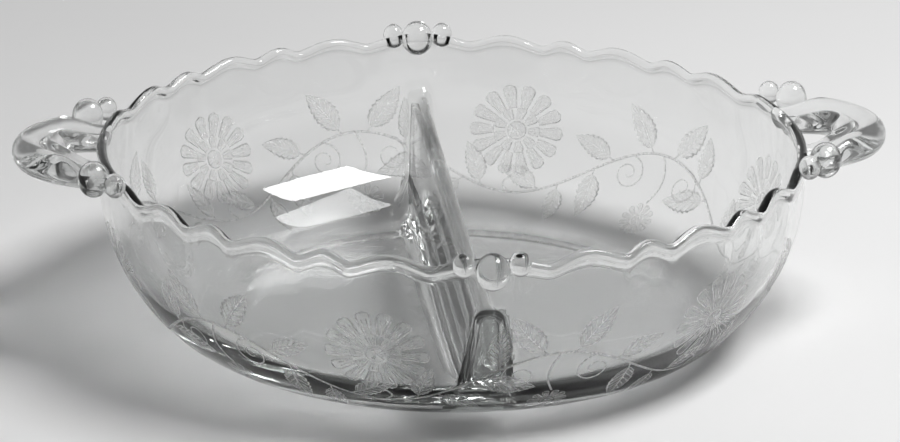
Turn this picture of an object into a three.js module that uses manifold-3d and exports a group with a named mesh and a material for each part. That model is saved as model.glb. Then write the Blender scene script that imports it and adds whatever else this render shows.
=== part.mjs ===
// Two-compartment pressed-glass bowl with loop handles and pearl beads on a scalloped rim.
// Millimetres, +Z up. The origin is on the table under the middle of the bowl, and its front faces -Y.
import * as THREE from "three";
import { mergeVertices } from "three/addons/utils/BufferGeometryUtils.js";
import Module from "manifold-3d";

const wasm = await Module();
wasm.setup();

const seam = 0.3; // clearance between a piece and the seat cut for it

// Shell: floor, wall and lip
const rimRadius = 114; // outside of the rolled rim
const rimHeight = 59; // top of the rim in the dips between scallops
const lipRoll = 1.75; // radius of the rolled rim
const wallThickness = 2.7; // just under the rim
const baseRadius = 87; // outer edge of the flat underside
const baseThickness = 3;
const wallFootWidth = 2.2; // from the edge of the underside in to the edge of the flat floor inside
const outerBasePull = new THREE.Vector2(6, 4); // how the outside of the wall leaves the base
const outerRimPull = new THREE.Vector2(1.5, -33); // how the outside of the wall comes to the rim
const innerBasePull = new THREE.Vector2(4, 0.8); // the same for the inside of the wall
const innerRimPull = new THREE.Vector2(1.2, -31);

// Foot ring
const footHeight = 2.5;
const footWidth = 7;
const footDraft = 1; // how much the ring narrows toward the table on each side

// Scallops, as angles in degrees from the middle of the three beads at the front or rear
const scallopDips = [9, 22, 30.2, 42.7, 51.6, 64.5];
const longScallopRise = 3.2;
const shortScallopRise = 2.8;
const shortScallopLimit = 10.5; // an arc narrower than this is a short one
const scallopLean = 0.35; // how far the rim leans inward for each millimetre that an arc rises
const dipRounding = 1.4; // from 1, where the arcs meet in sharp dips, to 2, where they meet in even waves
const beadRise = 3; // height of the arc behind the three beads
const handleRise = 2.5; // height of the rim beside the handles above the dips
const handleRiseEnd = 71; // angle where that height is reached
const scallopDepth = 16; // how far down the wall the scallops fade out

// Divider
const crestThickness = 6;
const crestHeight = 40; // at the middle of the bowl, above the table
const crestRise = 2; // how much higher the crest is where it meets the rim's circle
const dividerBaseThickness = 12;
const dividerFillet = 5;

// Handles
const handleReach = 22; // from the rim's outside to the middle of the outer roll
const handleHalfWidth = 22.5; // from the handle's axis to the middle of the outer roll
const handleLift = 2; // middle of the rolls above the rim's dips
const handleRoot = 2; // how far inside the rim's outside the curve of the loop starts
const outerRoll = 4.9; // radius
const innerRoll = 4.1; // radius
const rollSpacing = 8.8; // between the middles of the two rolls
const webThickness = 5.6; // between the two rolls
const webTurn = 35; // degrees that each roll turns in toward the web
const rootBlend = 13; // how far outside the rim the handle starts to change into its root
const rootDrop = 2.6; // how much lower the root is
const rootThinning = 0.38; // share of its height that the handle loses there

// Beads, as half sizes: out from the bowl, along the rim, up
const bigBead = new THREE.Vector3(5, 5, 5.6);
const smallBead = new THREE.Vector3(3.3, 3.2, 3.7);
const rimBeadOut = 2.8; // middle of a big front or rear bead outside the rim
const rimBeadLift = 0.1; // and above the rim's dips
const smallBeadInset = 1.4; // a small front or rear bead is this much nearer the axis than the big one
const smallBeadLift = 1.6; // and this much higher
const handleBeadOut = 6; // middle of a big bead beside a handle outside the rim
const handleSmallOut = 2; // the same for the small bead next to it
const handleBeadLift = 1; // both above the middle of the rolls
const handleBeadSink = 0.9; // how far a big bead sits into the side of the handle's root

// Fineness
const aroundSegments = 192;
const wallSteps = 6;
const lipSteps = 5;
const rollSteps = 5;
const loopSteps = 26;
const crestSteps = 4;
const dividerSteps = 24;
const beadSegments = 12;
const footSegments = 64;
const beadRings = 8;

const floorHeight = footHeight + baseThickness;
const floorRadius = baseRadius - wallFootWidth;
const lipMiddle = rimRadius - lipRoll;
const lipHeight = rimHeight - lipRoll; // middle of the rolled rim
const neckTurn = Math.acos(wallThickness / 2 / lipRoll); // how far the roll turns under to meet the wall
const neckHeight = lipHeight - lipRoll * Math.sin(neckTurn);
const handleHeight = rimHeight + handleLift;
const rimBeadRadius = rimRadius + rimBeadOut;
const rimBeadHeight = rimHeight + rimBeadLift;
const handleBeadRadius = rimRadius + handleBeadOut;
const handleSmallRadius = rimRadius + handleSmallOut;
const handleBeadHeight = handleHeight + handleBeadLift;

const glass = new THREE.MeshStandardMaterial({
  color: 0xe8eeee,
  roughness: 0.05,
  metalness: 0,
  transparent: true,
  opacity: 0.35,
});

// A closed geometry as a solid for cutting and joining.
function solidOf(geometry) {
  const bare = geometry.clone();
  bare.deleteAttribute("normal");
  bare.deleteAttribute("uv");
  const merged = mergeVertices(bare, 1e-4);
  const index = merged.index.array;
  const faces = [];
  for (let i = 0; i < index.length; i += 3) {
    const [a, b, c] = index.subarray(i, i + 3);
    if (a !== b && b !== c && c !== a) faces.push(a, b, c);
  }
  return new wasm.Manifold(
    new wasm.Mesh({
      numProp: 3,
      vertProperties: merged.attributes.position.array,
      triVerts: new Uint32Array(faces),
    }),
  );
}

function geometryOf(solid) {
  const { vertProperties, triVerts } = solid.getMesh();
  const geometry = new THREE.BufferGeometry();
  geometry.setAttribute("position", new THREE.BufferAttribute(vertProperties, 3));
  geometry.setIndex(new THREE.BufferAttribute(triVerts, 1));
  geometry.computeVertexNormals();
  return geometry;
}

// A profile of points (radius, height) turned round the bowl's axis.
function revolve(profile, segments = aroundSegments) {
  return new THREE.LatheGeometry(profile, segments).rotateX(Math.PI / 2);
}

// How far the rim stands above its dips and leans inward, at an angle from the nearest front or rear bead.
function rimWave(angle) {
  const last = scallopDips.at(-1);
  if (angle >= last) {
    return { lift: handleRise * THREE.MathUtils.smoothstep(angle, last, handleRiseEnd), lean: 0 };
  }
  const next = scallopDips.findIndex((dip) => angle < dip);
  if (next === 0) return { lift: beadRise * Math.cos((Math.PI * angle) / 2 / scallopDips[0]), lean: 0 };
  const start = scallopDips[next - 1];
  const width = scallopDips[next] - start;
  const rise = width < shortScallopLimit ? shortScallopRise : longScallopRise;
  const lift = rise * Math.sin((Math.PI * (angle - start)) / width) ** dipRounding;
  return { lift, lean: scallopLean * lift };
}

// Moves the top of a turned wall up and in to follow the scallops.
function scallop(geometry) {
  const place = geometry.getAttribute("position");
  for (let i = 0; i < place.count; i++) {
    const [x, y, z] = [place.getX(i), place.getY(i), place.getZ(i)];
    const share = THREE.MathUtils.smoothstep(z, rimHeight - scallopDepth, neckHeight);
    const radius = Math.hypot(x, y);
    if (share === 0 || radius < floorRadius) continue;
    const { lift, lean } = rimWave(THREE.MathUtils.radToDeg(Math.atan2(Math.abs(x), Math.abs(y))));
    const shrink = 1 - (share * lean) / radius;
    place.setXYZ(i, x * shrink, y * shrink, z + share * lift);
  }
  return geometry;
}

// A wall's curve from the base to just under the lip, given where it starts and ends.
function wallCurve(start, startPull, end, endPull) {
  const leave = start.clone().add(startPull);
  const arrive = end.clone().add(endPull);
  return new THREE.CubicBezierCurve(start, leave, arrive, end).getPoints(wallSteps);
}

const outerWall = wallCurve(
  new THREE.Vector2(baseRadius, footHeight),
  outerBasePull,
  new THREE.Vector2(lipMiddle + wallThickness / 2, neckHeight),
  outerRimPull,
);
const innerWall = wallCurve(
  new THREE.Vector2(floorRadius, floorHeight),
  innerBasePull,
  new THREE.Vector2(lipMiddle - wallThickness / 2, neckHeight),
  innerRimPull,
);
const lip = new THREE.EllipseCurve(lipMiddle, lipHeight, lipRoll, lipRoll, -neckTurn, Math.PI + neckTurn)
  .getPoints(lipSteps)
  .slice(1, -1);
const onAxis = (height) => new THREE.Vector2(0, height);

const shellBlank = solidOf(
  scallop(
    revolve([
      onAxis(footHeight),
      ...outerWall,
      ...lip,
      ...innerWall.toReversed(),
      onAxis(floorHeight),
    ]),
  ),
);

// The space that the wall's outside fills, up past the handles, and the space inside the wall.
const aboveAll = handleHeight + outerRoll + rimHeight;
const outside = outerWall.map((p) => new THREE.Vector2(p.x + seam, p.y));
const wallSpace = solidOf(
  scallop(
    revolve([
      onAxis(footHeight),
      ...outside,
      new THREE.Vector2(rimRadius + seam, neckHeight),
      new THREE.Vector2(rimRadius + seam, aboveAll),
      onAxis(aboveAll),
    ]),
  ),
);
const inside = innerWall.map((p) => new THREE.Vector2(p.x - seam, p.y));
const cavity = solidOf(
  revolve([
    onAxis(floorHeight),
    ...inside,
    new THREE.Vector2(inside.at(-1).x, aboveAll),
    onAxis(aboveAll),
  ]),
);

function beadGeometry(half) {
  return new THREE.SphereGeometry(1, beadSegments, beadRings)
    .rotateX(Math.PI / 2)
    .scale(half.x, half.y, half.z);
}

// Every bead: name, half sizes, distance from the axis, height, and angle round from +X in radians.
const besideBig = bigBead.y + seam + smallBead.y;
const beads = [];
for (const [side, facing] of [["front", -1], ["rear", 1]]) {
  const middle = (facing * Math.PI) / 2;
  const step = besideBig / rimBeadRadius;
  const smallRadius = rimBeadRadius - smallBeadInset;
  const smallHeight = rimBeadHeight + smallBeadLift;
  beads.push([`bead_${side}_big`, bigBead, rimBeadRadius, rimBeadHeight, middle]);
  beads.push([`bead_${side}_left`, smallBead, smallRadius, smallHeight, middle + facing * step]);
  beads.push([`bead_${side}_right`, smallBead, smallRadius, smallHeight, middle - facing * step]);
}
const rootHalfWidth = handleHalfWidth + outerRoll;
const bigAngle = Math.asin((rootHalfWidth - handleBeadSink + bigBead.y) / handleBeadRadius);
const smallAngle = bigAngle + besideBig / handleBeadRadius;
for (const [side, middle, turn] of [["left", Math.PI, -1], ["right", 0, 1]]) {
  for (const [end, facing] of [["front", -1], ["rear", 1]]) {
    const name = `bead_${side}_handle_${end}`;
    const bigAt = middle + turn * facing * bigAngle;
    const smallAt = middle + turn * facing * smallAngle;
    beads.push([`${name}_big`, bigBead, handleBeadRadius, handleBeadHeight, bigAt]);
    beads.push([`${name}_small`, smallBead, handleSmallRadius, handleBeadHeight, smallAt]);
  }
}

// A bead grown by the seam, in place, to cut its seat.
function seatOf([, half, radius, height, angle]) {
  const geometry = beadGeometry(half.clone().addScalar(seam));
  return solidOf(geometry.translate(radius, 0, height).rotateZ(angle));
}
const seats = wasm.Manifold.union(beads.map(seatOf));

// Two rolls joined by a hollow web, in section: x is across the loop's plane, y is away from its opening.
function rollSection() {
  const turn = THREE.MathUtils.degToRad(webTurn);
  const pull = webThickness - ((outerRoll + innerRoll) * Math.cos(turn)) / 2;
  const innerEdge = innerRoll * Math.cos(turn);
  const outerEdge = outerRoll * Math.cos(turn);
  const innerTop = -rollSpacing + innerRoll * Math.sin(turn);
  const outerFoot = -outerRoll * Math.sin(turn);
  const middle = (innerTop + outerFoot) / 2;
  const section = new THREE.Shape();
  section.absarc(0, 0, outerRoll, -turn, Math.PI + turn, false);
  section.quadraticCurveTo(-pull, middle, -innerEdge, innerTop);
  section.absarc(0, -rollSpacing, innerRoll, Math.PI - turn, 2 * Math.PI + turn, false);
  section.quadraticCurveTo(pull, middle, outerEdge, outerFoot);
  return section;
}

// The right handle: half an ellipse in plan whose straight ends sink and thin into the wall.
function handleSolid() {
  const start = rimRadius - handleRoot;
  const bend = new THREE.EllipseCurve(
    start,
    0,
    handleRoot + handleReach,
    handleHalfWidth,
    Math.PI / 2,
    -Math.PI / 2,
    true,
  ).getPoints(loopSteps);
  const straight = start - rootHalfWidth / 2;
  const plan = [
    new THREE.Vector2(straight, handleHalfWidth),
    ...bend,
    new THREE.Vector2(straight, -handleHalfWidth),
  ];
  const path = new THREE.CatmullRomCurve3(plan.map((p) => new THREE.Vector3(p.x, p.y, handleHeight)));
  const loop = new THREE.ExtrudeGeometry(rollSection(), {
    steps: loopSteps,
    curveSegments: rollSteps,
    extrudePath: path,
  });
  const place = loop.getAttribute("position");
  for (let i = 0; i < place.count; i++) {
    const radius = Math.hypot(place.getX(i), place.getY(i));
    const root = 1 - THREE.MathUtils.smoothstep(radius, rimRadius, rimRadius + rootBlend);
    const height = (place.getZ(i) - handleHeight) * (1 - root * rootThinning);
    place.setZ(i, handleHeight - root * rootDrop + height);
  }
  return solidOf(loop).subtract(wallSpace);
}

// The divider: an upright section run from front to rear, raised toward the wall and cut to the inside.
function dividerSolid() {
  const foot = dividerBaseThickness / 2;
  const round = crestThickness / 2;
  const section = new THREE.Shape();
  section.moveTo(-foot - dividerFillet, floorHeight);
  section.lineTo(foot + dividerFillet, floorHeight);
  section.quadraticCurveTo(foot, floorHeight, foot, floorHeight + dividerFillet);
  section.lineTo(round, crestHeight - round);
  section.absarc(0, crestHeight - round, round, 0, Math.PI, false);
  section.lineTo(-foot, floorHeight + dividerFillet);
  section.quadraticCurveTo(-foot, floorHeight, -foot - dividerFillet, floorHeight);
  const geometry = new THREE.ExtrudeGeometry(section, {
    steps: dividerSteps,
    curveSegments: crestSteps,
    depth: 2 * rimRadius,
    bevelEnabled: false,
  });
  geometry.rotateX(Math.PI / 2).translate(0, rimRadius, 0);
  const place = geometry.getAttribute("position");
  for (let i = 0; i < place.count; i++) {
    const share = (place.getZ(i) - floorHeight) / (crestHeight - floorHeight);
    const rise = crestRise * (place.getY(i) / rimRadius) ** 2;
    place.setZ(i, place.getZ(i) + share * rise);
  }
  return solidOf(geometry).intersect(cavity);
}

const group = new THREE.Group();

function addPiece(name, geometry) {
  const mesh = new THREE.Mesh(geometry, glass.clone());
  mesh.name = name;
  group.add(mesh);
  return mesh;
}

addPiece("bowl_shell", geometryOf(shellBlank.subtract(seats)));
addPiece(
  "foot_ring",
  revolve(
    [
      new THREE.Vector2(baseRadius - footWidth, footHeight),
      new THREE.Vector2(baseRadius - footWidth + footDraft, 0),
      new THREE.Vector2(baseRadius - footDraft, 0),
      new THREE.Vector2(baseRadius, footHeight),
      new THREE.Vector2(baseRadius - footWidth, footHeight),
    ],
    footSegments,
  ),
);
addPiece("divider", geometryOf(dividerSolid()));

const handle = geometryOf(handleSolid().subtract(seats));
addPiece("handle_right", handle);
addPiece("handle_left", handle).rotation.z = Math.PI;

for (const [name, half, radius, height, angle] of beads) {
  const bead = addPiece(name, beadGeometry(half));
  bead.position.set(radius * Math.cos(angle), radius * Math.sin(angle), height);
  bead.rotation.z = angle;
}

export default group;
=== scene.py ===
# Clear pressed-glass bowl in two compartments, with a frosted vine on its wall, on a pale studio sweep.
import math
import bmesh
import bpy
import numpy as np
from mathutils import Matrix, Quaternion, Vector


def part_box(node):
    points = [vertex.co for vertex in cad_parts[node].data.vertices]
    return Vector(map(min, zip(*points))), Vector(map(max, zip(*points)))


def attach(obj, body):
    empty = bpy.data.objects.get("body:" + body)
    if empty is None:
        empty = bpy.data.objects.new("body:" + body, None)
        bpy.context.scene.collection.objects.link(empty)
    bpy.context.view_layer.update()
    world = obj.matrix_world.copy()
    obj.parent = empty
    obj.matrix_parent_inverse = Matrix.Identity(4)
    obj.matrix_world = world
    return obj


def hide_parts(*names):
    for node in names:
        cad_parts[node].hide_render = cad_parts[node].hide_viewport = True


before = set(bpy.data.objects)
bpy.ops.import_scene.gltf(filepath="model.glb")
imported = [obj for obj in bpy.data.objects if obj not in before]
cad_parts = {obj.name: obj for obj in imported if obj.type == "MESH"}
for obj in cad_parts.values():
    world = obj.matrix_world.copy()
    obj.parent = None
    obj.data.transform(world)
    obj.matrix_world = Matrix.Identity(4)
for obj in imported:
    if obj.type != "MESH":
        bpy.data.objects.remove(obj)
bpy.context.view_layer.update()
scene = bpy.context.scene
scene.view_settings.view_transform = "Standard"
mm = 0.001
lightPaths = 13  # surfaces that a ray may meet: enough to cross both walls and the divider
for kind in ("max", "glossy", "transmission"):
    setattr(scene.cycles, kind + "_bounces", lightPaths)

bowl = {  # millimetres, the pressed body; edges sharper than the crease, in degrees, stay sharp
    "rimRadius": 114, "rimHeight": 59, "lipRoll": 1.75, "wallThickness": 2.7,
    "restRadius": 80, "restWidth": 6, "hollowRadius": 66, "hollowDepth": 0.65, "restRound": 2.5,
    "floorRadius": 76, "floorHeight": 6,
    "outerPulls": ((12, 0.6), (1.5, -33)), "innerPulls": ((18, 0), (1.2, -31)),
    "around": 540, "wallSteps": 36, "lipSteps": 14, "flatSteps": 12, "cornerSteps": 5, "poleRadius": 4,
    "roundedSteps": 3, "crease": 38, "joinWithin": 0.001,
}
scallops = {  # degrees from the front or rear beads, rises in millimetres
    "dips": (9, 22, 30.2, 42.7, 51.6, 64.5), "longRise": 3.2, "shortRise": 2.8, "shortLimit": 10.5,
    "lean": 0.35, "rounding": 1.4, "beadRise": 3, "handleRise": 2.5, "handleRiseEnd": 71, "depth": 16,
}
lipMiddle = bowl["rimRadius"] - bowl["lipRoll"]
lipHeight = bowl["rimHeight"] - bowl["lipRoll"]
neckTurn = math.acos(bowl["wallThickness"] / 2 / bowl["lipRoll"])  # how far the roll turns under
neckHeight = lipHeight - bowl["lipRoll"] * math.sin(neckTurn)


def smooth(low, high, value):  # smoothstep between two limits
    t = np.clip((value - low) / (high - low), 0, 1)
    return t * t * (3 - 2 * t)


# A cubic Bezier in (radius, height): end points plus the pulls that leave and reach them.
def bezier(start, startPull, endPull, end, steps):
    t = np.linspace(0, 1, steps + 1)[:, None]
    s = 1 - t
    start, end = np.array(start, float), np.array(end, float)
    leave, arrive = start + startPull, end + endPull
    return s ** 3 * start + 3 * t * s ** 2 * leave + 3 * t ** 2 * s * arrive + t ** 3 * end


# Corners of a polyline replaced by quadratic curves that start and end `reach` along each side.
def rounded(corners, reach):
    corners = np.array(corners, float)
    before, here, after = corners[:-2], corners[1:-1], corners[2:]
    toBefore = (before - here) / np.linalg.norm(before - here, axis=1, keepdims=True)
    toAfter = (after - here) / np.linalg.norm(after - here, axis=1, keepdims=True)
    t = np.linspace(0, 1, bowl["cornerSteps"] + 1)[None, :, None]
    first, last = (here + toBefore * reach)[:, None], (here + toAfter * reach)[:, None]
    curve = (1 - t) ** 2 * first + 2 * t * (1 - t) * here[:, None] + t ** 2 * last
    return np.concatenate([corners[:1], curve.reshape(-1, 2), corners[-1:]])


outerWall = bezier((bowl["restRadius"], 0), *bowl["outerPulls"],
                   (lipMiddle + bowl["wallThickness"] / 2, neckHeight), bowl["wallSteps"])
innerWall = bezier((bowl["floorRadius"], bowl["floorHeight"]), *bowl["innerPulls"],
                   (lipMiddle - bowl["wallThickness"] / 2, neckHeight), bowl["wallSteps"])


def innerRadius(z):  # of the wall's inner face at a height
    return np.interp(z, innerWall[:, 1], innerWall[:, 0])


def middleRadius(z):  # halfway through the wall
    return (np.interp(z, outerWall[:, 1], outerWall[:, 0]) + innerRadius(z)) / 2


# Rim over its dips: a power of a sine between neighbouring dips, a cosine arc behind the three beads, and
# a level stretch at the handles. Gives the lift and the lean toward the axis.
def rimWave(angle):
    dips = scallops["dips"]
    arcs = np.zeros_like(angle)
    for start, end in zip(dips[:-1], dips[1:]):
        t = np.clip((angle - start) / (end - start), 0, 1)
        rise = scallops["shortRise"] if end - start < scallops["shortLimit"] else scallops["longRise"]
        arcs = arcs + rise * np.sin(np.pi * t) ** scallops["rounding"]
    beads = scallops["beadRise"] * np.cos(np.pi / 2 * np.clip(angle / dips[0], 0, 1))
    handles = scallops["handleRise"] * smooth(dips[-1], scallops["handleRiseEnd"], angle)
    return arcs + beads + handles, scallops["lean"] * arcs


# Moves the top of the wall up and in by the scallops, fading out down the wall.
def scalloped(points):
    x, y, z = points[..., 0], points[..., 1], points[..., 2]
    radius = np.maximum(np.hypot(x, y), 1)
    lift, lean = rimWave(np.degrees(np.arctan2(np.abs(x), np.abs(y))))
    share = smooth(bowl["rimHeight"] - scallops["depth"], neckHeight, z) * (radius > bowl["floorRadius"])
    shrink = 1 - share * lean / radius
    return np.stack([x * shrink, y * shrink, z + share * lift], -1)


# A grid of points (rows, columns, 3) whose columns run round a closed line, as quads.
def tubeFaces(rows, columns):
    i, j = np.meshgrid(np.arange(rows - 1), np.arange(columns), indexing="ij")
    k = (j + 1) % columns
    row, rowAfter = i * columns, (i + 1) * columns
    return np.stack([row + j, row + k, rowAfter + k, rowAfter + j], -1).reshape(-1, 4)


# Puts points and faces into a mesh object, with its doubles merged and its faces outward.
def meshPiece(name, points, faces):
    mesh = bpy.data.meshes.new(name)
    mesh.from_pydata((points.reshape(-1, 3) * mm).tolist(), [], faces.tolist())
    work = bmesh.new()
    work.from_mesh(mesh)
    bmesh.ops.remove_doubles(work, verts=work.verts, dist=bowl["joinWithin"] * mm)
    bmesh.ops.recalc_face_normals(work, faces=work.faces)
    work.to_mesh(mesh)
    work.free()
    piece = bpy.data.objects.new(name, mesh)
    scene.collection.objects.link(piece)
    return piece


# A closed skin: the grid plus a pole at the middle of its first and last row.
def closedSkin(name, points):
    rows, columns = points.shape[:2]
    ends = np.repeat(points[[0, -1]].mean(axis=1, keepdims=True), columns, axis=1)
    return meshPiece(name, np.concatenate([ends[:1], points, ends[1:]]), tubeFaces(rows + 2, columns))


# A level stretch of the profile between two radii.
def level(start, end, height):
    radius = np.linspace(start, end, bowl["flatSteps"])
    return np.stack([radius, np.full_like(radius, height)], -1)


# Body of the bowl: a profile from the underside's middle, over the ring that it rests on, the wall and the
# rolled rim, down to the floor's middle, turned round the axis and scalloped.
def bodySkin():
    rest, hollow, depth = bowl["restRadius"], bowl["hollowRadius"], bowl["hollowDepth"]
    upWall = outerWall[bowl["roundedSteps"]:]  # the ring's rounding takes the place of the wall's first steps
    under = level(bowl["poleRadius"], hollow - 2 * bowl["restRound"], depth)
    corners = [under[-1], (hollow, depth), (rest - bowl["restWidth"], 0), (rest, 0), upWall[0]]
    ring = rounded(corners, bowl["restRound"])
    turn = np.linspace(-neckTurn, math.pi + neckTurn, bowl["lipSteps"])[1:-1]
    roll = np.stack([np.cos(turn), np.sin(turn)], -1) * bowl["lipRoll"] + (lipMiddle, lipHeight)
    floorLine = level(bowl["floorRadius"] - bowl["restRound"], bowl["poleRadius"], bowl["floorHeight"])
    profile = np.concatenate([under[:-1], ring[:-1], upWall, roll, innerWall[::-1], floorLine])
    angle = np.linspace(0, 2 * np.pi, bowl["around"], endpoint=False)
    radius, height = profile[:, :1], profile[:, 1:]
    points = np.stack(np.broadcast_arrays(radius * np.cos(angle), radius * np.sin(angle), height), -1)
    return closedSkin("body", scalloped(points))


divider = {  # millimetres; the crowdings are powers that gather the steps at the foot and at the two ends
    "crest": 6, "base": 12, "crestHeight": 40, "crestRise": 2, "floorFillet": 5, "wallFillet": 5,
    "filletReach": 0.97, "sink": 2.4, "skirt": 1.2, "skirtDrop": 0.45, "flareUpFrom": 0.75,
    "crestFlareLoss": 0.5, "footCrowding": 1.6, "endCrowding": 1.5,
    "along": 120, "crestSteps": 16, "sideSteps": 14,
}


# How far a quarter-round fillet stands out at distance d from its wall: its radius less the circle's
# height there.
def fillet(d, radius):
    t = np.clip(1 - d / radius, 0, divider["filletReach"])
    return radius * (1 - np.sqrt(1 - t * t))


# Divider: an upright section with a round crest and filleted foot, carried from front to rear along a
# saddle (crest height grows with the square of y), its ends flared and sunk into the wall.
def dividerSkin():
    floorHeight, crest, base = bowl["floorHeight"], divider["crest"] / 2, divider["base"] / 2
    side = np.linspace(0, 1, divider["sideSteps"])
    turn = np.linspace(0, np.pi, divider["crestSteps"])
    top = divider["crestHeight"] - crest
    rise = floorHeight + (top - floorHeight) * side ** divider["footCrowding"]
    draft = base + (crest - base) * (rise - floorHeight) / (top - floorHeight)
    flank = np.stack([draft + fillet(rise - floorHeight, divider["floorFillet"]), rise], -1)
    widest = flank[0, 0] + divider["skirt"]
    under = np.array([(widest, floorHeight - divider["sink"]), (widest, floorHeight - divider["skirtDrop"])])
    crestArc = np.stack([crest * np.cos(turn), top + crest * np.sin(turn)], -1)[1:-1]
    right = np.concatenate([under, flank])
    section = np.concatenate([right, crestArc, right[::-1] * (-1, 1)])
    along = np.linspace(-1, 1, divider["along"])
    along = (np.sign(along) * (1 - (1 - np.abs(along)) ** divider["endCrowding"]))[:, None]
    x, z = section[:, 0], section[:, 1]
    share = np.clip((z - floorHeight) / (divider["crestHeight"] - floorHeight), 0, 1)
    raised = z + share * divider["crestRise"] * (along * middleRadius(z) / bowl["rimRadius"]) ** 2
    flare = fillet(innerRadius(raised) - np.abs(along) * middleRadius(raised), divider["wallFillet"])
    high = smooth(divider["flareUpFrom"], 1, share)
    wide = x + np.sign(x) * flare * (z > floorHeight) * (1 - divider["crestFlareLoss"] * high)
    raised = raised + flare * high
    y = along * np.sqrt(middleRadius(raised) ** 2 - wide ** 2)
    return closedSkin("divider", np.stack([wide, y, raised], -1))


handle = {  # millimetres, the right-hand loop; a higher blend power gives a sharper groove between the rolls
    "reach": 22, "halfWidth": 22.5, "start": 2, "height": 61, "outerRoll": 4.9, "innerRoll": 4.1,
    "spacing": 8.8, "web": 2.8, "webEdge": 5, "blendPower": 6, "rootBlend": 13, "rootDrop": 2.6,
    "rootThinning": 0.38, "bendSteps": 90, "endSteps": 6, "around": 56,
}
handleInner = -handle["spacing"] - handle["innerRoll"]  # inner edge, from the outer roll's middle


# Height of the two joined rolls over the distance w from the outer roll's middle: a smooth maximum of two
# circles and the web between them, which is a root of the sum of their powers.
def rollHeight(w):
    power, edge = handle["blendPower"], handle["webEdge"]
    outer = np.clip(handle["outerRoll"] ** 2 - w ** 2, 0, None)
    inner = np.clip(handle["innerRoll"] ** 2 - (w + handle["spacing"]) ** 2, 0, None)
    between = smooth(handle["outerRoll"], handle["outerRoll"] - edge, w)
    between = between * smooth(handleInner, handleInner + edge, w)
    total = outer ** (power / 2) + inner ** (power / 2) + (handle["web"] * between) ** power
    return total ** (1 / power)


# Handle: the two-roll section carried round half an ellipse in plan and straight into the wall at both
# ends, where it drops and flattens to the height of the lip.
def handleSkin(name, side):
    turn = np.linspace(0, 2 * np.pi, handle["around"], endpoint=False)
    outerEdge = handle["outerRoll"]
    w = (outerEdge + handleInner) / 2 + (outerEdge - handleInner) / 2 * np.cos(turn)
    up = np.sign(np.sin(turn)) * rollHeight(w)
    start = bowl["rimRadius"] - handle["start"]
    far, half = handle["reach"] + handle["start"], handle["halfWidth"]
    t = np.linspace(-np.pi / 2, np.pi / 2, handle["bendSteps"])[:, None]
    outward = np.stack([half * np.cos(t), far * np.sin(t)], -1)
    outward /= np.linalg.norm(outward, axis=-1, keepdims=True)
    x = start + far * np.cos(t) + outward[..., 0] * w
    y = half * np.sin(t) + outward[..., 1] * w
    share = np.linspace(0, 1, handle["endSteps"], endpoint=False)[:, None]
    wallX = np.sqrt(lipMiddle ** 2 - y[[0, -1]] ** 2)  # both ends run in to the middle of the rolled rim
    ends = [wallX[k] + (x[k] - wallX[k]) * share for k in (0, -1)]
    x = np.concatenate([ends[0], x, ends[1][::-1]])
    y = np.pad(y, ((handle["endSteps"], handle["endSteps"]), (0, 0)), "edge")
    root = 1 - smooth(bowl["rimRadius"], bowl["rimRadius"] + handle["rootBlend"], np.hypot(x, y))
    z = handle["height"] - handle["rootDrop"] * root + up * (1 - handle["rootThinning"] * root)
    return closedSkin(name, np.stack([side * x, side * y, z], -1))


bead = {"rings": 17, "around": 32, "grow": 0.25}  # millimetres grown, so that neighbours melt together


# Bead: an ellipsoid over the box of its CAD node.
def beadSkin(node):
    low, high = (np.array(corner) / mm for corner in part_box(node))
    lat = np.linspace(-np.pi / 2, np.pi / 2, bead["rings"])[1:-1, None]
    lon = np.linspace(0, 2 * np.pi, bead["around"], endpoint=False)
    axes = np.cos(lat) * np.cos(lon), np.cos(lat) * np.sin(lon), np.sin(lat)
    ball = np.stack(np.broadcast_arrays(*axes), -1)
    return closedSkin("skin_" + node, (low + high) / 2 + ((high - low) / 2 + bead["grow"]) * ball)


# Joins closed skins into one, as the bowl is pressed in one piece.
def fused(name, skins):
    body = skins[0]
    for skin in skins[1:]:
        join = body.modifiers.new("join", "BOOLEAN")
        join.operation = "UNION"
        join.solver = "MANIFOLD"
        join.object = skin
    whole = bpy.data.meshes.new_from_object(body.evaluated_get(bpy.context.evaluated_depsgraph_get()))
    whole.name = name
    whole.materials.clear()
    for skin in skins:
        bpy.data.objects.remove(skin)
    whole.polygons.foreach_set("use_smooth", np.ones(len(whole.polygons), bool))
    whole.set_sharp_from_angle(angle=math.radians(bowl["crease"]))
    piece = bpy.data.objects.new(name, whole)
    scene.collection.objects.link(piece)
    return piece


beadNodes = sorted(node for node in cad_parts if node.startswith("bead_"))
skins = [bodySkin(), dividerSkin(), handleSkin("right", 1), handleSkin("left", -1)]
skins += [beadSkin(node) for node in beadNodes]
glassBowl = fused("glassBowl", skins)
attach(glassBowl, "root")
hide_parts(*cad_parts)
print("glass bowl", len(glassBowl.data.vertices), "points")

vine = {  # millimetres on the unrolled wall: p round the bowl at this radius, q up the wall from its foot
    "radius": 106, "waves": 6, "turn": 12, "middle": 31, "swing": 11.5, "stemSteps": 60,
    "stem": 0.9, "curl": 0.63, "shortStalk": 0.72, "leafStalk": 0.54,  # widths of the lines
    "tendrils": ((0.39, -1), (0.61, -1)),  # share of a wave, and up or down
    "tendrilSize": 6.5, "tendrilTurns": 1.6, "tendrilShrink": 0.86, "tendrilTaper": 0.5, "tendrilSteps": 70,
    "stalkBend": 3, "stalkSteps": 12, "gap": 0.03, "film": 0.05, "joinWithin": 0.002,
}
waveLength = 2 * math.pi * vine["radius"] / vine["waves"]
waveStarts = np.arange(vine["waves"]) * waveLength
wallLength = np.concatenate([[0], np.cumsum(np.linalg.norm(np.diff(outerWall, axis=0), axis=1))])


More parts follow.
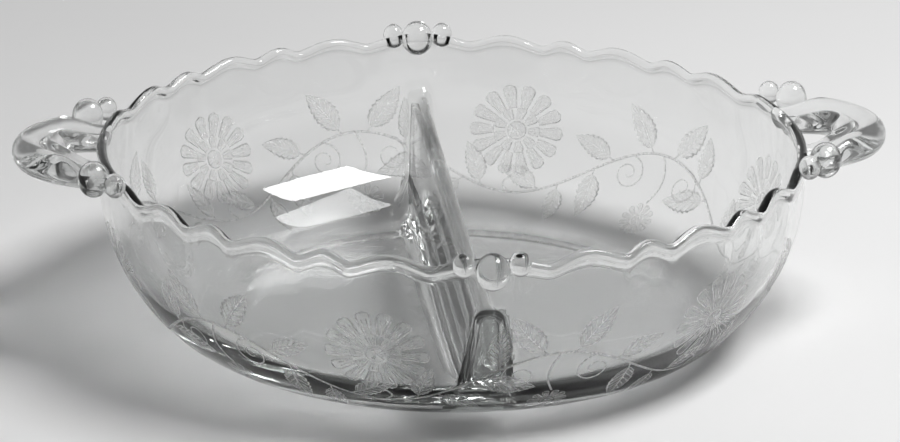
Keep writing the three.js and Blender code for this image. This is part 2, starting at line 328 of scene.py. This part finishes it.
# A point (p, q) of the unrolled decoration laid on the wall: p becomes a turn round the axis, q a length
# along the wall's curve, and the film stands off by a hair along the wall's normal.
def onWall(pq):
    p, q = pq[..., 0], pq[..., 1]
    tangent = np.gradient(outerWall, wallLength, axis=0)
    offWall = outerWall + vine["gap"] * np.stack([tangent[:, 1], -tangent[:, 0]], -1)
    radius = np.interp(q, wallLength, offWall[:, 0])
    height = np.interp(q, wallLength, offWall[:, 1])
    angle = p / vine["radius"] + math.radians(vine["turn"])
    return scalloped(np.stack([radius * np.cos(angle), radius * np.sin(angle), height], -1))


# The stem's height up the wall at p: a sine wave, lowest at the start of each wave, under its blossom.
def stemHeight(p):
    return vine["middle"] - vine["swing"] * np.cos(2 * np.pi * p / waveLength)


def stemBearing(p):  # the angle of the wave's slope
    slope = 2 * np.pi / waveLength * vine["swing"] * np.sin(2 * np.pi * p / waveLength)
    return np.arctan(slope)


# Blades: patches that run from a base along a bearing, bowed aside by a parabola, their half width
# following outline(u) from base to tip. Gives (blades, rows, columns, 2) places and as many (u, v).
def blades(base, bearing, length, width, outline, rows, columns, bow=0):
    u, v = np.meshgrid(np.linspace(0, 1, rows), np.linspace(-1, 1, columns), indexing="ij")
    each = lambda values: np.broadcast_to(np.asarray(values, float), len(base))[:, None, None]
    along = each(length) * u
    across = each(width) / 2 * outline(u) * v + each(bow) * each(length) * u * (1 - u)
    c, s = np.cos(each(bearing)), np.sin(each(bearing))
    p = base[:, 0, None, None] + along * c - across * s
    q = base[:, 1, None, None] + along * s + across * c
    uv = np.broadcast_to(np.stack([u, (v + 1) / 2], -1), p.shape + (2,))
    return np.stack([p, q], -1), uv


# Ribbons: lines (lines, rows, 2) given the width that taper(u) leaves along them, three points across.
def ribbons(lines, width, taper=np.ones_like):
    step = np.gradient(lines, axis=1)
    aside = np.stack([-step[..., 1], step[..., 0]], -1) / np.linalg.norm(step, axis=-1, keepdims=True)
    u = np.linspace(0, 1, lines.shape[1])
    v = np.array([-1, 0, 1])
    half = (width / 2 * taper(u))[None, :, None, None] * v[None, None, :, None]
    uv = np.stack(np.meshgrid(u, (v + 1) / 2, indexing="ij"), -1)
    places = lines[:, :, None] + aside[:, :, None] * half
    return places, np.broadcast_to(uv, places.shape)


# One film piece from several families of patches, laid on the wall and given its thickness.
def filmPiece(name, families):
    points, faces, uvs, start = [], [], [], 0
    for places, uv in families:
        patches, rows, columns = places.shape[:3]
        i, j = np.meshgrid(np.arange(rows - 1), np.arange(columns - 1), indexing="ij")
        row, rowAfter = i * columns, (i + 1) * columns
        corner = np.stack([row + j, row + j + 1, rowAfter + j + 1, rowAfter + j], -1)
        offset = start + np.arange(patches)[:, None, None] * rows * columns
        faces.append((corner.reshape(1, -1, 4) + offset).reshape(-1, 4))
        points.append(onWall(places).reshape(-1, 3))
        uvs.append(uv.reshape(-1, 2))
        start += patches * rows * columns
    points, faces, uvs = np.concatenate(points), np.concatenate(faces), np.concatenate(uvs)
    mesh = bpy.data.meshes.new(name)
    mesh.from_pydata((points * mm).tolist(), [], faces.tolist())
    layer = mesh.uv_layers.new(name="pattern")
    layer.data.foreach_set("uv", uvs[faces.reshape(-1)].astype(np.float32).reshape(-1))
    work = bmesh.new()
    work.from_mesh(mesh)
    bmesh.ops.remove_doubles(work, verts=work.verts, dist=vine["joinWithin"] * mm)
    bmesh.ops.recalc_face_normals(work, faces=work.faces)
    outward = lambda face: Vector((*face.calc_center_median().xy, 0))
    bmesh.ops.reverse_faces(work, faces=[face for face in work.faces if face.normal.dot(outward(face)) < 0])
    work.to_mesh(mesh)
    work.free()
    mesh.polygons.foreach_set("use_smooth", np.ones(len(mesh.polygons), bool))
    piece = bpy.data.objects.new(name, mesh)
    scene.collection.objects.link(piece)
    film = piece.modifiers.new("film", "SOLIDIFY")
    film.thickness = vine["film"] * mm
    film.offset = 1
    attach(piece, "root")
    return piece


blossom = {  # millimetres up the wall and from a flower's middle; grids are rows and columns of points
    "height": 42.5, "outerPetals": 14, "outerRing": (7.9, 16.2), "innerPetals": 9, "innerRing": (3.9, 8.1),
    "centre": 3.3, "budHeight": 17, "budPetals": 11, "budRing": (2.7, 7.2), "budCentre": 2.3,
    "innerShift": 0.5, "budShift": 0.25,  # turns of a ring, in petals
    "petalBase": 0.5, "widening": 0.62, "roundFrom": 0.62, "roundness": 2.4, "fill": 0.94,
    "petalGrid": (12, 5), "discGrid": (5, 25),
}


# Half width of a petal from base to tip: it widens steadily, and closes in a rounded end.
def petalOutline(u):
    end = np.clip((u - blossom["roundFrom"]) / (1 - blossom["roundFrom"]), 0, 1)
    closing = np.sqrt(np.clip(1 - end ** blossom["roundness"], 0, 1))
    return (blossom["petalBase"] + blossom["widening"] * u) * closing


# Rings of petals round middles (n, 2), from one radius to another.
def petalRing(middles, count, ring, shift=0):
    turn = (np.arange(count) + shift) * 2 * np.pi / count
    spoke = np.stack([np.cos(turn), np.sin(turn)], -1)
    base = (middles[:, None] + ring[0] * spoke).reshape(-1, 2)
    width = 2 * np.pi / count * (ring[0] + ring[1]) / 2 * blossom["fill"]
    bearing = np.tile(turn, len(middles))
    return blades(base, bearing, ring[1] - ring[0], width, petalOutline, *blossom["petalGrid"])


# Discs round middles: a polar grid, u from the middle outward and v round it.
def discs(middles, radius):
    rows, columns = blossom["discGrid"]
    u, v = np.meshgrid(np.linspace(0, 1, rows), np.linspace(0, 1, columns), indexing="ij")
    spoke = np.stack([np.cos(2 * np.pi * v), np.sin(2 * np.pi * v)], -1)
    places = middles[:, None, None] + radius * u[..., None] * spoke
    return places, np.broadcast_to(np.stack([u, v], -1), places.shape)


# A blossom over the low point of each wave, and a bud under its high point.
def blossomFamilies():
    middles = np.stack([waveStarts, np.full(vine["waves"], blossom["height"])], -1)
    buds = np.stack([waveStarts + waveLength / 2, np.full(vine["waves"], blossom["budHeight"])], -1)
    return [petalRing(middles, blossom["outerPetals"], blossom["outerRing"]),
            petalRing(middles, blossom["innerPetals"], blossom["innerRing"], blossom["innerShift"]),
            discs(middles, blossom["centre"]),
            petalRing(buds, blossom["budPetals"], blossom["budRing"], blossom["budShift"]),
            discs(buds, blossom["budCentre"])]


leaf = {  # each place: share of a wave, side that it bows to, degrees from the stem, length in millimetres
    "places": ((0.10, 1, 50, 15), (0.16, -1, -62, 15), (0.27, -1, -48, 18), (0.33, 1, 58, 15),
               (0.46, 1, 118, 17), (0.54, 1, 62, 17), (0.67, 1, 52, 15), (0.73, -1, -55, 18),
               (0.84, -1, -60, 15), (0.90, 1, 48, 15)),
    "stalk": 2.2, "width": 0.52, "bow": 0.12, "belly": 0.72, "fullness": 0.85,
    "teeth": 8, "toothDepth": 0.2, "toothSteps": 4, "columns": 5,
}


# Half width of a leaf from base to tip: a sine drawn toward the base, less a saw of teeth.
def leafOutline(u):
    tooth = 1 - leaf["toothDepth"] * ((u * leaf["teeth"]) % 1)
    return np.clip(np.sin(np.pi * u ** leaf["belly"]), 0, 1) ** leaf["fullness"] * tooth


# Leaves on both sides of each wave, and the lines that carry them.
def leafFamilies():
    share, side, lean, length = (np.array(column, float) for column in zip(*leaf["places"]))
    p = (waveStarts[:, None] + share * waveLength).reshape(-1)
    side, lean, length = (np.tile(values, vine["waves"]) for values in (side, lean, length))
    bearing = stemBearing(p) + np.radians(lean)
    stalk = leaf["stalk"] * np.stack([np.cos(bearing), np.sin(bearing)], -1)
    base = np.stack([p, stemHeight(p)], -1) + stalk
    rows = leaf["toothSteps"] * leaf["teeth"] + 1
    width, bow = length * leaf["width"], leaf["bow"] * side
    leaves = blades(base, bearing, length, width, leafOutline, rows, leaf["columns"], bow)
    stalks = ribbons(np.stack([base - stalk, base - stalk / 2, base], 1), vine["leafStalk"])
    return [leaves], stalks


# Tendrils: spirals that leave the stem along it and shrink steadily as they wind.
def tendrilRibbons():
    share, side = (np.array(column, float) for column in zip(*vine["tendrils"]))
    start = (waveStarts[:, None] + share * waveLength).reshape(-1)
    side = np.tile(side, vine["waves"])[:, None]
    t = np.linspace(0, 1, vine["tendrilSteps"])[None]
    turn = side * (np.pi / 2 + 2 * np.pi * vine["tendrilTurns"] * t)
    reach = vine["tendrilSize"] * (1 - vine["tendrilShrink"] * t)
    p = start[:, None] - reach * np.cos(turn) * side
    q = stemHeight(start)[:, None] + side * vine["tendrilSize"] - reach * np.sin(turn)
    return ribbons(np.stack([p, q], -1), vine["curl"], lambda u: 1 - vine["tendrilTaper"] * u)


# Short stalks from the stem up to each blossom and down to each bud, bent aside by half a sine.
def stalkRibbons():
    rise = np.linspace(0, 1, vine["stalkSteps"])[None]
    bend = vine["stalkBend"] * np.sin(np.pi * rise)
    low, high = waveStarts[:, None], waveStarts[:, None] + waveLength / 2
    climb = blossom["height"] - blossom["outerRing"][1] - stemHeight(low)
    drop = stemHeight(high) - blossom["budHeight"] - blossom["budRing"][1]
    toBlossoms = np.stack([low + bend, stemHeight(low) + climb * rise], -1)
    toBuds = np.stack([high - bend, stemHeight(high) - drop * rise], -1)
    return ribbons(np.concatenate([toBlossoms, toBuds]), vine["shortStalk"])


def stemRibbon():  # the wave itself, all round the bowl
    p = np.linspace(0, waveLength * vine["waves"], vine["stemSteps"] * vine["waves"] + 1)
    return ribbons(np.stack([p, stemHeight(p)], -1)[None], vine["stem"])


etchedBlossoms = filmPiece("etchedBlossoms", blossomFamilies())
leaves, leafStalks = leafFamilies()
etchedLeaves = filmPiece("etchedLeaves", leaves)
etchedVine = filmPiece("etchedVine", [stemRibbon(), tendrilRibbons(), stalkRibbons(), leafStalks])
print("vine etched on the wall")


def newMaterial(name):
    material = bpy.data.materials.new(name)
    material.use_nodes = True
    material.node_tree.nodes.clear()
    return material, material.node_tree.nodes, material.node_tree.links


# Links a socket to another one, or sets it to a number.
def feed(links, socket, value):
    if isinstance(value, bpy.types.NodeSocket):
        links.new(value, socket)
    else:
        socket.default_value = value


# A Math node on numbers or sockets; its result is the socket that comes back.
def calc(nodes, links, operation, *values):
    node = nodes.new("ShaderNodeMath")
    node.operation = operation
    for socket, value in zip(node.inputs, values):
        feed(links, socket, value)
    return node.outputs[0]


# A smooth step of a socket between two limits, to a low and a high value.
def ramp(nodes, links, value, low, high, toLow=0, toHigh=1):
    node = nodes.new("ShaderNodeMapRange")
    node.interpolation_type = "SMOOTHSTEP"
    for name, number in zip(("From Min", "From Max", "To Min", "To Max"), (low, high, toLow, toHigh)):
        node.inputs[name].default_value = number
    links.new(value, node.inputs["Value"])
    return node.outputs["Result"]


# One shader over another, by a share that is a number or a socket.
def mixed(nodes, links, share, first, second):
    node = nodes.new("ShaderNodeMixShader")
    feed(links, node.inputs["Fac"], share)
    links.new(first, node.inputs[1])
    links.new(second, node.inputs[2])
    return node.outputs["Shader"]


def noise(nodes, links, scale, detail):
    place = nodes.new("ShaderNodeTexCoord")
    cloud = nodes.new("ShaderNodeTexNoise")
    cloud.inputs["Scale"].default_value = scale
    cloud.inputs["Detail"].default_value = detail
    links.new(place.outputs["Object"], cloud.inputs["Vector"])
    return cloud.outputs["Fac"]


clearGlass = {  # ripples per metre, their depth in metres; the depth tint grows along a ray's way inside
    "tint": (0.97, 0.974, 0.972, 1), "ior": 1.5, "depthTint": (0.9, 0.904, 0.902, 1), "depthDensity": 50,
    "ripple": 38, "rippleDetail": 2, "rippleDepth": 0.0004, "rippleStrength": 0.26,
}


# Clear glass with the faint ripple of a pressing, a little darker where it is thick.
def glassMaterial():
    material, nodes, links = newMaterial("clearPressedGlass")
    output = nodes.new("ShaderNodeOutputMaterial")
    glass = nodes.new("ShaderNodeBsdfPrincipled")
    glass.inputs["Base Color"].default_value = clearGlass["tint"]
    glass.inputs["Transmission Weight"].default_value = 1
    glass.inputs["IOR"].default_value = clearGlass["ior"]
    glass.inputs["Roughness"].default_value = 0
    bump = nodes.new("ShaderNodeBump")
    bump.inputs["Strength"].default_value = clearGlass["rippleStrength"]
    bump.inputs["Distance"].default_value = clearGlass["rippleDepth"]
    ripple = noise(nodes, links, clearGlass["ripple"], clearGlass["rippleDetail"])
    links.new(ripple, bump.inputs["Height"])
    links.new(bump.outputs["Normal"], glass.inputs["Normal"])
    links.new(glass.outputs["BSDF"], output.inputs["Surface"])
    depth = nodes.new("ShaderNodeVolumeAbsorption")
    depth.inputs["Color"].default_value = clearGlass["depthTint"]
    depth.inputs["Density"].default_value = clearGlass["depthDensity"]
    links.new(depth.outputs["Volume"], output.inputs["Volume"])
    return material


frost = {  # opacity of one face of the film on its ground and on its drawn lines; grain per metre
    "ground": 0.17, "line": 0.85, "white": (0.98, 0.98, 0.98, 1), "through": 0.5,
    "grain": 1400, "grainDetail": 3, "grainRange": (0.3, 0.7), "grainDepth": 0.5,
    "lineColour": (1, 1, 1, 1), "lineRoughness": 0.45, "lineIor": 1.35,
}


# Etched frost: a thin white grainy veil, lit from either side, under drawn lines of ground glass.
# draw(nodes, links, u, v) gives the drawn lines; u runs along a motif and v from its middle to its edge.
def frostMaterial(name, draw):
    material, nodes, links = newMaterial(name)
    output = nodes.new("ShaderNodeOutputMaterial")
    pattern = nodes.new("ShaderNodeUVMap")
    pattern.uv_map = "pattern"
    axes = nodes.new("ShaderNodeSeparateXYZ")
    links.new(pattern.outputs["UV"], axes.inputs[0])
    v = calc(nodes, links, "ABSOLUTE", calc(nodes, links, "MULTIPLY_ADD", axes.outputs[1], 2, -1))
    lines = draw(nodes, links, axes.outputs[0], v)
    speckle = noise(nodes, links, frost["grain"], frost["grainDetail"])
    grain = ramp(nodes, links, speckle, *frost["grainRange"], 1 - frost["grainDepth"], 1)
    front = nodes.new("ShaderNodeBsdfDiffuse")
    back = nodes.new("ShaderNodeBsdfTranslucent")
    for shader in (front, back):
        shader.inputs["Color"].default_value = frost["white"]
    ground = nodes.new("ShaderNodeBsdfPrincipled")
    ground.inputs["Base Color"].default_value = frost["lineColour"]
    ground.inputs["Transmission Weight"].default_value = 1
    ground.inputs["Roughness"].default_value = frost["lineRoughness"]
    ground.inputs["IOR"].default_value = frost["lineIor"]
    clear = nodes.new("ShaderNodeBsdfTransparent")
    white = mixed(nodes, links, frost["through"], front.outputs[0], back.outputs[0])
    cover = calc(nodes, links, "MULTIPLY", grain, frost["ground"])
    veil = mixed(nodes, links, cover, clear.outputs[0], white)
    drawn = calc(nodes, links, "MULTIPLY", calc(nodes, links, "MULTIPLY", grain, lines), frost["line"])
    links.new(mixed(nodes, links, drawn, veil, ground.outputs[0]), output.inputs["Surface"])
    return material


drawing = {  # shares of a motif's length or half width; a pair is the stretch where a line comes or goes
    "petalEdge": (0.74, 0.84), "petalTip": (0.9, 0.94), "streakAt": 0.34, "streak": (0.05, 0.13),
    "streakFade": (0.35, 0.75), "leafEdge": (0.78, 0.88), "rib": (0.04, 0.12), "veins": 7, "veinSweep": 1.6,
    "vein": (0.06, 0.16), "stemEdge": (0.85, 1), "stemEdgeTone": 0.6,
}


# Petals: their outline and two lines along them, fading to the tip.
def petalLines(nodes, links, u, v):
    edge = ramp(nodes, links, v, *drawing["petalEdge"])
    tip = ramp(nodes, links, u, *drawing["petalTip"])
    apart = calc(nodes, links, "ABSOLUTE", calc(nodes, links, "SUBTRACT", v, drawing["streakAt"]))
    fade = ramp(nodes, links, u, *drawing["streakFade"], 1, 0)
    streak = calc(nodes, links, "MULTIPLY", ramp(nodes, links, apart, *drawing["streak"], 1, 0), fade)
    return calc(nodes, links, "MAXIMUM", calc(nodes, links, "MAXIMUM", edge, tip), streak)


# Leaves: outline, midrib, and side veins that sweep forward from it.
def leafLines(nodes, links, u, v):
    edge = ramp(nodes, links, v, *drawing["leafEdge"])
    rib = ramp(nodes, links, v, *drawing["rib"], 1, 0)
    along = calc(nodes, links, "MULTIPLY", u, drawing["veins"])
    swept = calc(nodes, links, "SUBTRACT", along, calc(nodes, links, "MULTIPLY", v, drawing["veinSweep"]))
    nearest = calc(nodes, links, "PINGPONG", swept, 0.5)  # how far the nearest vein is, in spacings
    vein = ramp(nodes, links, nearest, *drawing["vein"], 1, 0)
    return calc(nodes, links, "MAXIMUM", calc(nodes, links, "MAXIMUM", edge, rib), vein)


# Stems: white all over but for their very edge.
def stemLines(nodes, links, u, v):
    return ramp(nodes, links, v, *drawing["stemEdge"], 1, drawing["stemEdgeTone"])


glassBowl.data.materials.append(glassMaterial())
etchedBlossoms.data.materials.append(frostMaterial("frostedPetal", petalLines))
etchedLeaves.data.materials.append(frostMaterial("frostedLeaf", leafLines))
etchedVine.data.materials.append(frostMaterial("frostedStem", stemLines))
print("glass and frost ready")

shot = {  # degrees and millimetres; focal length in pixels of a frame 900 wide; the far clip in metres
    "yaw": 6.1, "elevation": 19.71, "roll": 0.5, "distance": 1495, "focal": 4591, "frameWidth": 900,
    "aimRight": -0.2, "aimUp": 31.6, "sensor": 36, "farClip": 50,
}


def addCamera():
    yaw, elevation, roll = (math.radians(shot[k]) for k in ("yaw", "elevation", "roll"))
    right = Vector((math.cos(yaw), -math.sin(yaw), 0))
    flatAhead = Vector((math.sin(yaw), math.cos(yaw), 0))
    ahead = flatAhead * math.cos(elevation) - Vector((0, 0, math.sin(elevation)))
    up = right.cross(ahead)
    right, up = right * math.cos(roll) + up * math.sin(roll), up * math.cos(roll) - right * math.sin(roll)
    data = bpy.data.cameras.new("camera")
    data.sensor_fit = "HORIZONTAL"
    data.sensor_width = shot["sensor"]
    data.lens = shot["sensor"] * shot["focal"] / shot["frameWidth"]
    data.clip_end = shot["farClip"]
    camera = bpy.data.objects.new("camera", data)
    camera.matrix_world = Matrix((right, up, -ahead)).transposed().to_4x4()
    camera.location = (right * shot["aimRight"] + up * shot["aimUp"] - ahead * shot["distance"]) * mm
    scene.collection.objects.link(camera)
    scene.camera = camera


addCamera()
print("camera placed")

backdropGlowPaintedFalloff = 0.54, 0.74  # brightness of the pale backdrop on the left and on the right; the darker left is painted falloff, as if lit by the lamp on the right
sweep = {  # metres; past `near` the floor fades into the painted glow of the pale backdrop, which is whole at `far`
    "radius": 8, "sides": 96, "drop": 0.00025, "near": 0.42, "far": 1.0, "glowFalloffReach": 1.2,
    "colour": (0.8, 0.8, 0.8, 1), "mottle": 14, "mottleDetail": 4, "mottleShade": 0.97,
}


# Floor: a wide disc of matt paper with faint mottling; far from the bowl it turns into a painted glow, shaded
# darker on the left as if lit from the right.
def addFloor():
    turn = np.linspace(0, 2 * np.pi, sweep["sides"], endpoint=False)
    mesh = bpy.data.meshes.new("floor")
    edge = sweep["radius"] * np.cos(turn), sweep["radius"] * np.sin(turn), np.full_like(turn, -sweep["drop"])
    mesh.from_pydata(np.stack(edge, -1).tolist(), [], [list(range(sweep["sides"]))])
    floor = bpy.data.objects.new("floor", mesh)
    scene.collection.objects.link(floor)
    material, nodes, links = newMaterial("paleSweepPaintedGlow")
    output = nodes.new("ShaderNodeOutputMaterial")
    paper = nodes.new("ShaderNodeBsdfDiffuse")
    tone = nodes.new("ShaderNodeMixRGB")
    tone.inputs[1].default_value = [sweep["mottleShade"] * c for c in sweep["colour"][:3]] + [1]
    tone.inputs[2].default_value = sweep["colour"]
    links.new(noise(nodes, links, sweep["mottle"], sweep["mottleDetail"]), tone.inputs["Fac"])
    links.new(tone.outputs["Color"], paper.inputs["Color"])
    place = nodes.new("ShaderNodeTexCoord")
    away = nodes.new("ShaderNodeVectorMath")
    away.operation = "LENGTH"
    links.new(place.outputs["Object"], away.inputs[0])
    far = ramp(nodes, links, away.outputs["Value"], sweep["near"], sweep["far"])
    # the painted glow shows only to the eye, in reflections and through glass, so it lights nothing
    ray = nodes.new("ShaderNodeLightPath")
    seen = calc(nodes, links, "MAXIMUM", ray.outputs["Is Camera Ray"], ray.outputs["Is Glossy Ray"])
    seen = calc(nodes, links, "MAXIMUM", seen, ray.outputs["Is Transmission Ray"])
    glow = nodes.new("ShaderNodeEmission")
    axes = nodes.new("ShaderNodeSeparateXYZ")
    links.new(place.outputs["Object"], axes.inputs[0])
    # painted falloff: the glow dims toward the left, as if the lamp on the right lit it
    strength = ramp(nodes, links, axes.outputs[0], -sweep["glowFalloffReach"], sweep["glowFalloffReach"], *backdropGlowPaintedFalloff)
    links.new(strength, glow.inputs["Strength"])
    share = calc(nodes, links, "MULTIPLY", far, seen)
    surface = mixed(nodes, links, share, paper.outputs["BSDF"], glow.outputs["Emission"])
    links.new(surface, output.inputs["Surface"])
    floor.data.materials.append(material)


addFloor()

lamps = {  # metres, watts and degrees: place, width and height, power, roll about the beam; all face the bowl
    "softboxRight": ((0.60, -0.14, 1.09), (0.66, 0.4), 15.1, -20),
}


def addLamps():
    for name, (at, size, watts, roll) in lamps.items():
        light = bpy.data.lights.new(name, "AREA")
        light.shape = "RECTANGLE"
        light.size, light.size_y = size
        light.energy = watts
        lamp = bpy.data.objects.new(name, light)
        lamp.location = at
        beam = (-Vector(at)).to_track_quat("-Z", "Y")
        lamp.rotation_euler = (beam @ Quaternion((0, 0, 1), math.radians(roll))).to_euler()
        scene.collection.objects.link(lamp)


addLamps()

room = {  # z of a unit direction where the backdrop ends and the dim room is whole; y where its tone shifts
    "backdropTop": 0.12, "roomStart": 0.4, "rearRange": (-0.6, 0.7),
    "dimBehindCamera": 0.06, "dimBehindBowl": 0.22,  # brightness of the dim room
}


# World: a pale backdrop all round at the height of the eye, dim above, most so behind the camera.
def addWorld():
    world = bpy.data.worlds.new("studio")
    world.use_nodes = True
    nodes, links = world.node_tree.nodes, world.node_tree.links
    place = nodes.new("ShaderNodeTexCoord")
    axes = nodes.new("ShaderNodeSeparateXYZ")
    links.new(place.outputs["Generated"], axes.inputs[0])
    above = ramp(nodes, links, axes.outputs[2], room["backdropTop"], room["roomStart"])
    dims = room["dimBehindCamera"], room["dimBehindBowl"]
    dim = ramp(nodes, links, axes.outputs[1], *room["rearRange"], *dims)
    tone = nodes.new("ShaderNodeMix")
    links.new(above, tone.inputs["Factor"])
    links.new(ramp(nodes, links, axes.outputs[0], -1, 1, *backdropGlowPaintedFalloff), tone.inputs["A"])
    links.new(dim, tone.inputs["B"])
    links.new(tone.outputs["Result"], nodes["Background"].inputs["Strength"])
    nodes["Background"].inputs["Color"].default_value = (1, 1, 1, 1)
    scene.world = world


addWorld()
print("studio lit")
